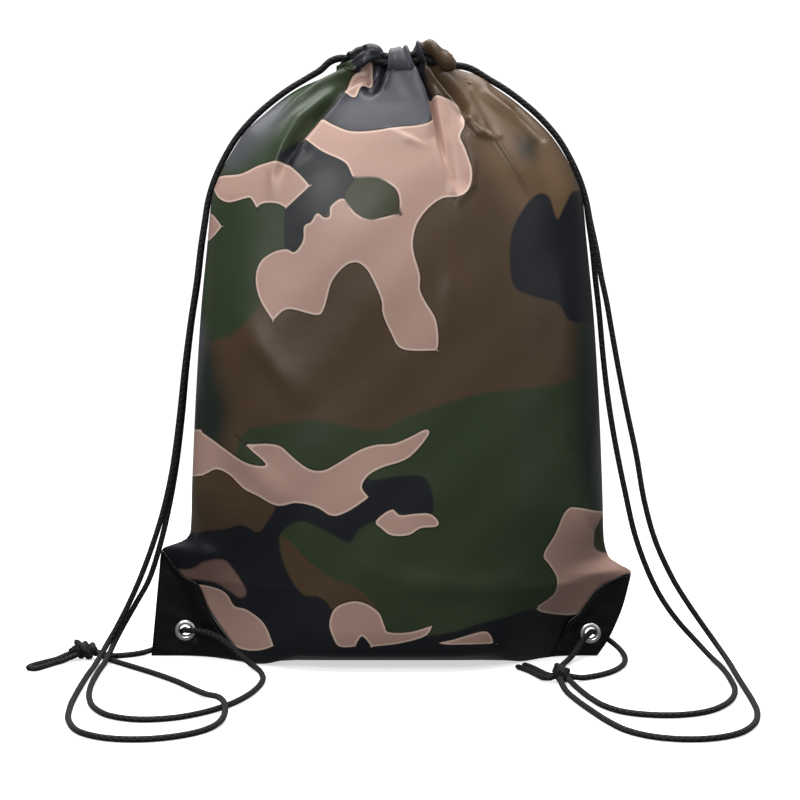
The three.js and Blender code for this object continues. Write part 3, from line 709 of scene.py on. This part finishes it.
# Folds of the front, top to bottom: the line, its heights, and its softness on the viewer's left and right.
FRONT_FOLDS = [
    ([(-7, 434), (-8, 420), (-9.5, 408), (-14, 400)], (-9, -12, -12, -7), 3.2, 1.5),
    ([(-14, 418), (-17, 410), (-20, 402)], (-6, -9, -6), 5, 5),
    ([(-22, 411), (-37, 402), (-54, 383), (-66, 368), (-77, 351), (-85, 336)],
     (-4, -7, -7, -6, -4, 0), 4, 2.4),
    ([(-10, 421), (-22, 418), (-36, 411), (-54, 403), (-70, 392), (-88, 374)],
     (2, 5, 4.5, 3.5, 2, 0), 2.4, 2.2),
    ([(-24, 427), (-40, 420), (-60, 409), (-80, 396)], (-3, -4, -4, 0), 2, 2),
    ([(-6, 432), (-6.5, 418), (-8.5, 405), (-12, 399)], (2, 3, 3, 0), 1.6, 2.6),
    ([(7, 433), (10, 419), (15, 407), (19, 399), (21, 390), (24, 379), (28, 368)],
     (3, 5, 5.5, 5, 4.5, 4, 0), 10, 1.4),
    ([(2, 430), (6, 424), (8.5, 418)], (-2, -3.5, -0.5), 1, 1),
    ([(10, 433), (13.5, 419), (19, 408), (24, 396), (26, 384), (29, 370), (33, 352), (38, 334)],
     (-8, -11, -11, -10, -9, -7, -4, 0), 2, 2),
    ([(13.5, 432), (17, 421), (25, 408), (33, 398), (42, 388), (50, 379)], (3, 4, 4, 4, 4.5, 3), 1.5, 1.8),
    ([(17, 430), (22, 419), (31, 407), (40, 397), (46, 388), (47, 381)],
     (-6, -10, -10, -9, -8, -3), 3, 3.4),
    ([(50, 379), (60, 371), (70, 366)], (3, 3, 0), 2.4, 3),
    ([(34, 392), (37, 376), (39.5, 355), (41.8, 338), (42.6, 327)], (-1, -3.5, -4, -3.5, 0), 6.5, 6.5),
    ([(28, 364), (33, 349), (39.5, 330), (43, 325)], (0.5, 2.2, 2, 0.4), 3, 2.2),
    ([(49, 366), (52.5, 350), (52, 334), (44, 323.5)], (0.8, 2, 2.4, 0.5), 2.2, 3.5),
    ([(14, 433), (20, 428), (34, 418), (47, 410), (60, 400), (74, 386), (88, 366), (98, 340), (104, 322)],
     (3, 4, 4.5, 4.5, 4, 3, 2, 1.2, 0), 6, 6),
    ([(-26, 405), (-48, 394), (-68, 379), (-80, 362), (-87, 345), (-89, 322)], (1, 3, 3.4, 3, 2, 0), 4, 4),
    ([(-92, 392), (-104, 372), (-112, 350)], (0, 2, 0), 6, 9),
    ([(-60, 372), (-66, 358), (-74, 352), (-80, 347)], (0, 1.8, 1.2, 0), 3, 5),
    ([(-10, 374), (8, 366), (22, 360)], (0, 2, 0), 4, 2),
    ([(-112, 250), (-97, 222), (-80, 200), (-58, 176)], (0, 1.6, 1.6, 0), 8, 10),
    ([(52, 398), (70, 365), (85, 342), (97, 323)], (2, 3, 3, 0), 2.2, 9),
    ([(46, 384), (56, 376), (68, 367)], (-2.5, -3.5, -1), 1.6, 2.2),
    ([(48, 378), (56, 369), (70, 366)], (1.5, 2.6, 1), 1.4, 3),
    ([(64, 398), (82, 386), (102, 366)], (-1, -3.5, -1), 1.6, 2),
    ([(60, 395), (78, 383), (96, 366)], (1, 3, 1), 3, 2),
    ([(-128, 165), (-110, 142), (-92, 124), (-74, 106)], (0, 2, 1.6, 0), 9, 10),
    ([(36, 300), (38, 262), (36, 224)], (0, 1.2, 0), 7, 9),
    ([(119, 160), (124, 146), (131, 124)], (0, -1.6, 0), 2.4, 5),
    ([(132, 104), (140, 90), (147, 70)], (0, -1.4, 0), 2.4, 5),
    ([(-142, 92), (-138, 80), (-132, 68)], (0, 2.5, 0), 3, 4),
    ([(112, 292), (120, 240), (116, 190)], (0, 2, 0), 8, 10),
    ([(-30, 66), (10, 52), (58, 48), (100, 60)], (0, 1.2, 1.2, 0), 9, 9),
]
LUMPS = ((-20, 9, 2.0), (21, 9, 3.6), (-7.5, 2.2, -3.4), (9.3, 2.0, -3.4), (0.8, 4, 1.2), (-31, 3, -1.0),
         (31, 3, -1.0))


def swell(x, z):
    """The unevenness of what the bag is stuffed with."""
    return (1.1 * np.sin(x / 31 + 1.3) * np.sin(z / 47 + 0.4) + 0.8 * np.sin(x / 19 - z / 37 + 2.0)
            + 0.45 * np.sin(x / 9.5 + z / 23) * np.sin(z / 17 + 1.0))


def back_folds(view):
    """Pleats that fan out below the back hem."""
    height = np.zeros(view.shape[:-1])
    for k in range(10):
        top_x = -37 + 8.2 * k
        spread, low, tall = 2.1 + 0.9 * rng.random(), 300 + 60 * rng.random(), 3 + 2.5 * rng.random()
        bend = 5 * (rng.random() - 0.5)
        line = [(top_x, 432), (top_x * 1.06, 414), (top_x * 1.5 + bend, 388), (top_x * spread, low)]
        sign = 1 if k % 2 else -1
        height += crease(view, line, (3 * sign, tall * sign, 0.7 * tall * sign, 0), 3 + 2 * rng.random(), 4)
    return height


def base_lift(grid):
    """Between the corners the stuffed base rounds up off the floor towards its front and back edges."""
    x, y, z = np.moveaxis(grid, -1, 0)
    middle = 1 - smoothstep(66, 104, np.abs(x))
    return 9 * middle * smoothstep(12, 50, np.abs(y)) * np.exp(-z / 14)


def shaped_cloth(facing):
    grid, run, rise = cloth_base(facing)
    grid[..., 2] += base_lift(grid)
    normals = grid_normals(grid) * -facing
    flat = np.stack([grid[..., 0], np.minimum(grid[..., 2], HEM_TOP)], -1)
    view = front_view(grid) if facing < 0 else flat
    raised = swell(view[..., 0] * facing, view[..., 1])
    inside_edge = np.abs(run[:, [0, -1]]).min(axis=1, keepdims=True) - np.abs(run)
    fading = 1 - 0.7 * smoothstep(360, 405, rise)
    raised *= smoothstep(0, 40, inside_edge) * smoothstep(4, 60, rise) * fading
    # The front panel makes the back folds' random draws too, which the order of the draws needs.
    folds = back_folds(view)
    if facing < 0:
        folds = sum(crease(view, *fold) for fold in FRONT_FOLDS)
    raised += folds * smoothstep(0, 12, inside_edge)
    over_hem = np.zeros(len(grid))
    over_hem[BODY.stop:] = smoothstep(math.radians(40), math.radians(130), HEM_TURNS)
    raised *= 1 - over_hem[:, None]
    grid = grid + normals * raised[..., None]
    x = grid[..., 0] * (1 if facing < 0 else -1)
    lift = sum(tall * np.exp(-((x - at) / wide) ** 2) for at, wide, tall in LUMPS)
    grid[..., 2] += lift * smoothstep(404, 424, grid[..., 2])
    return grid, run, rise


# The print, with patches of painted sheen and shade: closed outlines in the front view, rounded
# through their points. A point given twice makes a corner.
PRINT_AND_PAINTED_LIGHT = {
    # Painted sheen: a soft lighter brown where the top light's highlight falls on the right shoulder.
    "tan": [[(48, 404), (66, 396), (98, 372), (122, 330), (112, 300), (84, 318), (66, 352), (54, 380),
             (44, 394)]],
    "green": [
        [(-165, 350), (-120, 352), (-96, 350), (-78, 330), (-77, 300), (-80, 285), (-97, 275), (-96, 252),
         (-108, 236), (-126, 226), (-165, 232)],
        [(-165, 344), (-90, 342), (-78, 344), (-62, 372), (-38, 402), (-30, 418), (-60, 425), (-165, 400)],
        [(-107, 160), (-82, 166), (-54, 168), (-26, 162), (-8, 162), (4, 169), (28, 178), (58, 187),
         (90, 191), (115, 194), (165, 200), (175, 10), (60, 14), (-50, 20), (-92, 44), (-98, 104),
         (-112, 140)],
    ],
    "navy": [
        [(-6, 445), (12, 445), (20, 410), (30, 374), (0, 350), (-20, 330), (-46, 316), (-56, 305),
         (-66, 296), (-70, 286), (-78, 284), (-78, 318), (-62, 333), (-76, 346), (-82, 354), (-62, 372),
         (-38, 402), (-30, 418), (-60, 440)],
        [(-16, 126), (4, 129), (21, 126), (24, 102), (-4, 103), (-16, 97), (-27, 91), (-33, 82), (-41, 85),
         (-54, 92), (-69, 97), (-83, 88), (-83, 72), (-76, 56), (-67, 44), (-57, 43), (-50, 39), (-45, 33),
         (-47, 20), (-18, 13), (30, 14), (58, 22), (78, 27), (94, 33), (115, 33), (124, 31), (140, 26),
         (180, 20), (180, -60), (-190, -60), (-190, 92), (-128, 91), (-111, 95), (-99, 89), (-90, 106),
         (-60, 118), (-30, 128)],
        [(95, 325), (82, 305), (79, 284), (82, 264), (93, 257), (112, 251), (120, 239), (139, 238),
         (190, 236), (190, 300), (150, 322), (126, 330), (118, 320), (112, 310), (106, 326)],
        [(-10, 420), (-20, 418), (-22, 408), (-12, 402), (-8, 408)],
    ],
    # Painted sheen: soft grey patches where highlights fall on the left shoulder, the left side, the right
    # side and the top pleat.
    "slate_sheen": [
        [(-118, 376), (-96, 392), (-78, 388), (-92, 370), (-112, 350), (-124, 352)],
        [(-160, 234), (-137, 236), (-139, 205), (-144, 180), (-165, 180)],
        [(142, 172), (150, 172), (162, 140), (162, 104), (151, 100), (143, 118)],
        [(8, 432), (16, 398), (22, 376), (-6, 370), (-40, 376), (-34, 392), (-14, 400), (-6, 432)],
    ],
    "earth": [
        [(-83, 86), (-82, 72), (-76, 56), (-67, 44), (-57, 43), (-50, 39), (-45, 33), (-33, 37), (-23, 37),
         (-13, 33), (-18, 40), (-30, 50), (-47, 56), (-57, 63), (-67, 72), (-74, 80), (-81, 86)],
        [(-170, 134), (-143, 132), (-128, 136), (-119, 130), (-109, 120), (-99, 114), (-87, 107), (-93, 96),
         (-99, 89), (-111, 94), (-128, 91), (-170, 91)],
    ],
    # The first two outlines are painted shade darkening both sides of the body; the last is a dark green
    # print blot.
    "deep_and_side_shade": [
        [(-180, 236), (-138, 226), (-128, 198), (-122, 172), (-130, 150), (-150, 150), (-180, 150)],
        [(128, 240), (150, 240), (180, 200), (180, 120), (138, 112), (130, 150), (126, 190)],
        [(88, 363), (94, 361), (93, 356), (88, 356)],
    ],
    "dusk": [[(-185, 66), (-150, 62), (-136, 68), (-124, 68), (-118, 62), (-108, 47), (-112, 42),
              (-120, 47), (-136, 55), (-185, 58)]],
    "pink": [
        [(-55, 379), (-44, 375), (-33, 371), (-19, 371), (2, 374), (24, 377), (22, 394), (32, 395),
         (44, 385), (47, 376), (44, 368), (48, 358), (52, 343), (50, 331), (43, 326), (32, 325), (22, 318),
         (14, 307), (11, 295), (12, 285), (16, 271), (16, 261), (20, 252), (27, 240), (29, 226), (28, 218),
         (28, 218), (4, 219), (-4, 230), (-10, 244), (-11, 254), (-18, 270), (-23, 277), (-29, 280),
         (-37, 277), (-46, 266), (-51, 249), (-56, 243), (-73, 247), (-80, 246), (-87, 239), (-87, 239),
         (-96, 254), (-99, 268), (-96, 280), (-87, 287), (-78, 289), (-72, 287), (-66, 295), (-65, 305),
         (-60, 308), (-56, 314), (-51, 311), (-47, 312), (-46, 319), (-37, 324), (-29, 314), (-18, 310),
         (0, 315), (0, 330), (-14, 338), (-29, 338), (-36, 349), (-52, 357), (-66, 367), (-66, 367)],
        [(-127, 336), (-123, 340), (-110, 342), (-97, 348), (-87, 350), (-78, 349), (-68, 341), (-61, 333),
         (-61, 333), (-78, 318), (-78, 318), (-83, 321), (-90, 322), (-96, 321), (-99, 318), (-99, 318),
         (-103, 325), (-107, 325), (-118, 322), (-125, 325), (-128, 331)],
        [(-150, 330), (-131, 315), (-123, 305), (-123, 305), (-132, 295), (-150, 285)],
        [(-185, 158), (-143, 162), (-137, 159), (-121, 148), (-105, 138), (-92, 137), (-103, 148),
         (-113, 158), (-113, 158), (-105, 152), (-92, 152), (-82, 150), (-73, 142), (-62, 134), (-52, 133),
         (-42, 138), (-27, 147), (-15, 151), (-2, 152), (10, 157), (20, 162), (22, 158), (8, 142),
         (-11, 135), (-21, 129), (-25, 121), (-20, 114), (-20, 114), (-35, 104), (-46, 101), (-57, 107),
         (-71, 110), (-85, 108), (-99, 115), (-109, 120), (-119, 130), (-128, 134), (-135, 131),
         (-143, 129), (-185, 128)],
        [(-15, 97), (-4, 105), (2, 101), (13, 102), (23, 102), (29, 97), (28, 93), (17, 92), (8, 87),
         (-4, 87), (-11, 92)],
        [(-48, 23), (-44, 34), (-33, 39), (-23, 38), (-13, 31), (-9, 21), (-6, 16), (9, 16), (25, 21),
         (25, 21), (20, 13), (2, 7), (-18, 4), (-18, 4), (-25, 13), (-30, 4), (-30, 4), (-41, 4),
         (-46, 13)],
        [(-175, 56), (-143, 52), (-129, 49), (-121, 44), (-116, 36), (-107, 33), (-95, 23), (-88, 6),
         (-88, 6), (-97, 4), (-110, 5), (-124, 12), (-140, 24), (-175, 30)],
        [(123, 106), (131, 106), (146, 104), (180, 106), (180, 52), (146, 50), (131, 32), (115, 30),
         (99, 34), (111, 44), (114, 55), (108, 66), (104, 73), (113, 88), (118, 100)],
        [(41, 10), (60, 16), (66, 14), (69, 6), (69, 6), (29, 6)],
        [(-37, 401), (-31, 410), (-18, 415), (-18, 415), (-18, 405), (-25, 403), (-29, 395), (-35, 397)],
    ],
    "leaf": [
        [(-29, 338), (-29, 338), (-13, 338), (-2, 329), (2, 314), (2, 314), (-8, 313), (-18, 310),
         (-27, 314), (-36, 325)],
        [(148, 104), (144, 97), (141, 86), (141, 78), (150, 76), (160, 90), (156, 104)],
    ],
}

BACK_SPREAD, BACK_SHIFT, BACK_TOP = 1.22, 14, 404


def rounded_outline(points, steps=6):
    """A closed Catmull-Rom curve through the points."""
    p = np.array(points, float)
    a, b, c, d = (np.roll(p, shift, axis=0)[:, None] for shift in (1, 0, -1, -2))
    t = np.linspace(0, 1, steps, endpoint=False)[None, :, None]
    second, third = a - 2.5 * b + 2 * c - d / 2, 1.5 * (b - c) + (d - a) / 2
    curve = b + (c - a) / 2 * t + second * t ** 2 + third * t ** 3
    return curve.reshape(-1, 2)


def front_outline(outline, grid, run):
    """An outline of the front view, laid on the cloth."""
    y = np.full(len(outline), -50.0)
    for _ in range(8):
        shrink = (EYE_DISTANCE + y) / EYE_DISTANCE
        x, z = outline[:, 0] * shrink, EYE_HEIGHT + (outline[:, 1] - EYE_HEIGHT) * shrink
        y = -np.where(x < 0, depth_at(x, z, LEFT), depth_at(x, z, RIGHT))
    laid = []
    for px, pz in zip(x, z):
        row = BODY.start + int(np.argmin(np.abs(ROWS - pz)))
        across, along = grid[row, :, 0], run[row]
        beyond = px - np.clip(px, across[0], across[-1])
        laid.append((np.interp(px, across, along) + beyond, pz))
    return np.array(laid)


def back_outline(outline):
    """The back is cut from the same cloth, turned upside down."""
    return np.stack([outline[:, 0] * BACK_SPREAD + BACK_SHIFT, BACK_TOP - outline[:, 1]], -1)


def signed_distance(places, outline, reach=16.0):
    """How far inside an outline each place is, cut off at a reach."""
    found = np.full(len(places), -reach)
    low, high = outline.min(0) - reach, outline.max(0) + reach
    near = np.all((places > low) & (places < high), axis=1)
    p = places[near]
    away, inside = np.full(len(p), reach ** 2), np.zeros(len(p), bool)
    for a, b in zip(outline, np.roll(outline, -1, axis=0)):
        d = b - a
        t = np.clip(((p - a) @ d) / max(d.dot(d), 1e-9), 0, 1)
        off = p - a - t[:, None] * d
        away = np.minimum(away, off[:, 0] ** 2 + off[:, 1] ** 2)
        crosses = (a[1] > p[:, 1]) != (b[1] > p[:, 1])
        if crosses.any():
            inside ^= crosses & (p[:, 0] < a[0] + (p[:, 1] - a[1]) * d[0] / (d[1] if d[1] else 1))
    found[near] = np.where(inside, 1, -1) * np.sqrt(away)
    return found


def print_and_painted_light(grid, run, rise, facing, base_grid):
    places = np.stack([run.ravel(), rise.ravel()], -1)
    values = {"cloth_run": run.ravel(), "cloth_rise": rise.ravel()}
    for key, outlines in PRINT_AND_PAINTED_LIGHT.items():
        rounded = [rounded_outline(outline) for outline in outlines]
        laid = [front_outline(o, base_grid, run) if facing < 0 else back_outline(o) for o in rounded]
        values["ink_" + key] = np.max([signed_distance(places, outline) for outline in laid], axis=0)
    return values


def add_cloth(facing, name, material, nodes):
    base_grid, run, _ = cloth_base(facing)
    grid, run, rise = shaped_cloth(facing)
    faces = grid_faces(grid.shape[0], grid.shape[1], flip=facing > 0)
    cloth = mesh_object(name, grid, faces, material, print_and_painted_light(grid, run, rise, facing, base_grid))
    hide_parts(*nodes)
    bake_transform(cloth)


add_cloth(-1, "front_cloth", FRONT_CLOTH, ("front_panel", "front_casing"))
add_cloth(1, "back_cloth", BACK_CLOTH, ("back_panel", "back_casing"))

# ---- Corner tabs ----

PATCH_THICKNESS, PATCH_EDGE_THICKNESS = 1.2, 0.45
HOLE = 5.4


def patch_points(side, facing, rows=44, columns=36):
    """A corner patch's outer and inner faces, resting on the cloth, thin at its edges and puckered at
    its eyelet."""
    r, c = np.meshgrid(np.linspace(0, 1, rows), np.linspace(0, 1, columns), indexing="ij")
    z = lerp(0.5, side["patch_top"], r)
    x = side["sign"] * lerp(curve_through(side["patch_edge"], z), curve_through(side["edge"], z), c)
    centre_x, centre_z = side["eyelet"]
    away = np.hypot(x - centre_x, z - centre_z)
    depth = depth_at(x, z, side)
    depth = lerp(depth, np.minimum(depth, 0.3), 1 - smoothstep(9, 14, away))
    base = np.stack([x, facing * depth, z], -1)
    normal = grid_normals(base) * (-facing * side["sign"])
    normal[..., 2] = 0
    normal /= np.linalg.norm(normal, axis=-1, keepdims=True)
    width = np.abs(x[:, -1:] - x[:, :1])
    tall = side["patch_top"]
    border = np.minimum.reduce([c * width, (1 - c) * width, r * tall, (1 - r) * tall])
    rounding = np.sqrt(1 - (1 - np.clip(border / 1.6, 0, 1)) ** 2)
    around = np.arctan2(z - centre_z, x - centre_x)
    fading = np.exp(-np.maximum(away - 8, 0) / 7)
    pucker = 0.35 * np.sin(6 * around + 1) * smoothstep(7.5, 10, away) * fading
    waves = 0.5 * np.sin(x / 5.5 + z / 9) * np.sin(z / 8 + 1)
    buckle = waves * smoothstep(1, 8, border) * smoothstep(8, 16, away)
    gap = lerp(0.25, 1.8, smoothstep(0.6, 2.5, depth) * smoothstep(3, 30, z))
    inner = base + normal * gap[..., None]
    thickness = PATCH_EDGE_THICKNESS + (PATCH_THICKNESS - PATCH_EDGE_THICKNESS) * rounding
    outer = inner + normal * (thickness + (pucker + buckle) * rounding)[..., None]
    return outer, inner, away


def add_patch(side, facing):
    outer, inner, away = patch_points(side, facing)
    rows, columns = away.shape
    flip = facing * side["sign"] > 0
    faces = grid_faces(rows, columns, flip) + grid_faces(rows, columns, not flip, rows * columns)
    rim = [r * columns for r in range(rows)][::-1] + list(range(columns))
    rim += [r * columns + columns - 1 for r in range(rows)]
    rim += [(rows - 1) * columns + c for c in range(columns)][::-1]
    shift = rows * columns
    for a, b in zip(rim, rim[1:]):
        if a != b:
            quad = (a, a + shift, b + shift, b)
            faces.append(quad[::-1] if flip else quad)
    open_at = np.concatenate([away.ravel(), away.ravel()]) < HOLE
    faces = [f for f in faces if not any(open_at[i] for i in f)]
    where = "front" if facing < 0 else "back"
    points = np.concatenate([outer.reshape(-1, 3), inner.reshape(-1, 3)])
    patch = mesh_object(f"{side['name']}_corner_{where}", points, faces, LEATHERETTE)
    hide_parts(f"{side['name']}_patch_{where}")
    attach(patch, "root")
    seam = np.concatenate([outer[3:-3, 3], outer[-3, 3:-3]])
    add_stitches(f"{side['name']}_stitches_{where}", seam, facing)


def add_stitches(name, line, facing, long=2.3, pitch=3.4, radius=0.32, lift=0.12):
    """A row of stitches along a line of points."""
    points, faces = [], []
    for start in np.arange(1, run_along(line)[-1] - long, pitch):
        spine = places_along(line, np.linspace(start, start + long, 5))
        spine[:, 1] += facing * (lift - np.array([0.25, 0, 0, 0, 0.25]))
        way = spine[-1] - spine[0]
        way /= np.linalg.norm(way)
        side = np.cross(way, (0, 1, 0))
        side /= np.linalg.norm(side)
        up = np.cross(way, side)
        first = len(points)
        for p, r in zip(spine, radius * np.array([0.5, 1, 1, 1, 0.5])):
            points += [p + r * (math.cos(a) * side + math.sin(a) * up) for a in np.arange(6) * math.pi / 3]
        faces += grid_faces(5, 6, start=first, wrap=True)
        faces += [tuple(range(first, first + 6)), tuple(range(first + 24, first + 30))[::-1]]
    made = mesh_object(name, points, faces, THREAD)
    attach(made, "root")


def add_eyelet(side):
    """A rolled ring with its barrel and washer, one lathed form whose axis runs front to back."""
    half = [(4.1, 0), (4.0, -1.2), (4.15, -2.2), (4.7, -2.8), (5.4, -3.0), (6.4, -2.85), (7.2, -2.45),
            (7.5, -2.1), (7.3, -1.95), (5.0, -1.9)]
    profile = half[::-1] + [(r, -y) for r, y in half[1:]]
    x, z = side["eyelet"]
    points = [(x + r * math.cos(a), y, z + r * math.sin(a)) for r, y in profile for a in ROUND_TURNS]
    faces = grid_faces(len(profile), ROUND_SIDES, wrap=True, flip=True)
    ring = mesh_object(f"{side['name']}_nickel_eyelet", points, faces, NICKEL)
    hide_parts(f"{side['name']}_eyelet", f"{side['name']}_eyelet_washer")
    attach(ring, "root")


for corner in SIDES:
    add_patch(corner, -1)
    add_patch(corner, 1)
    add_eyelet(corner)
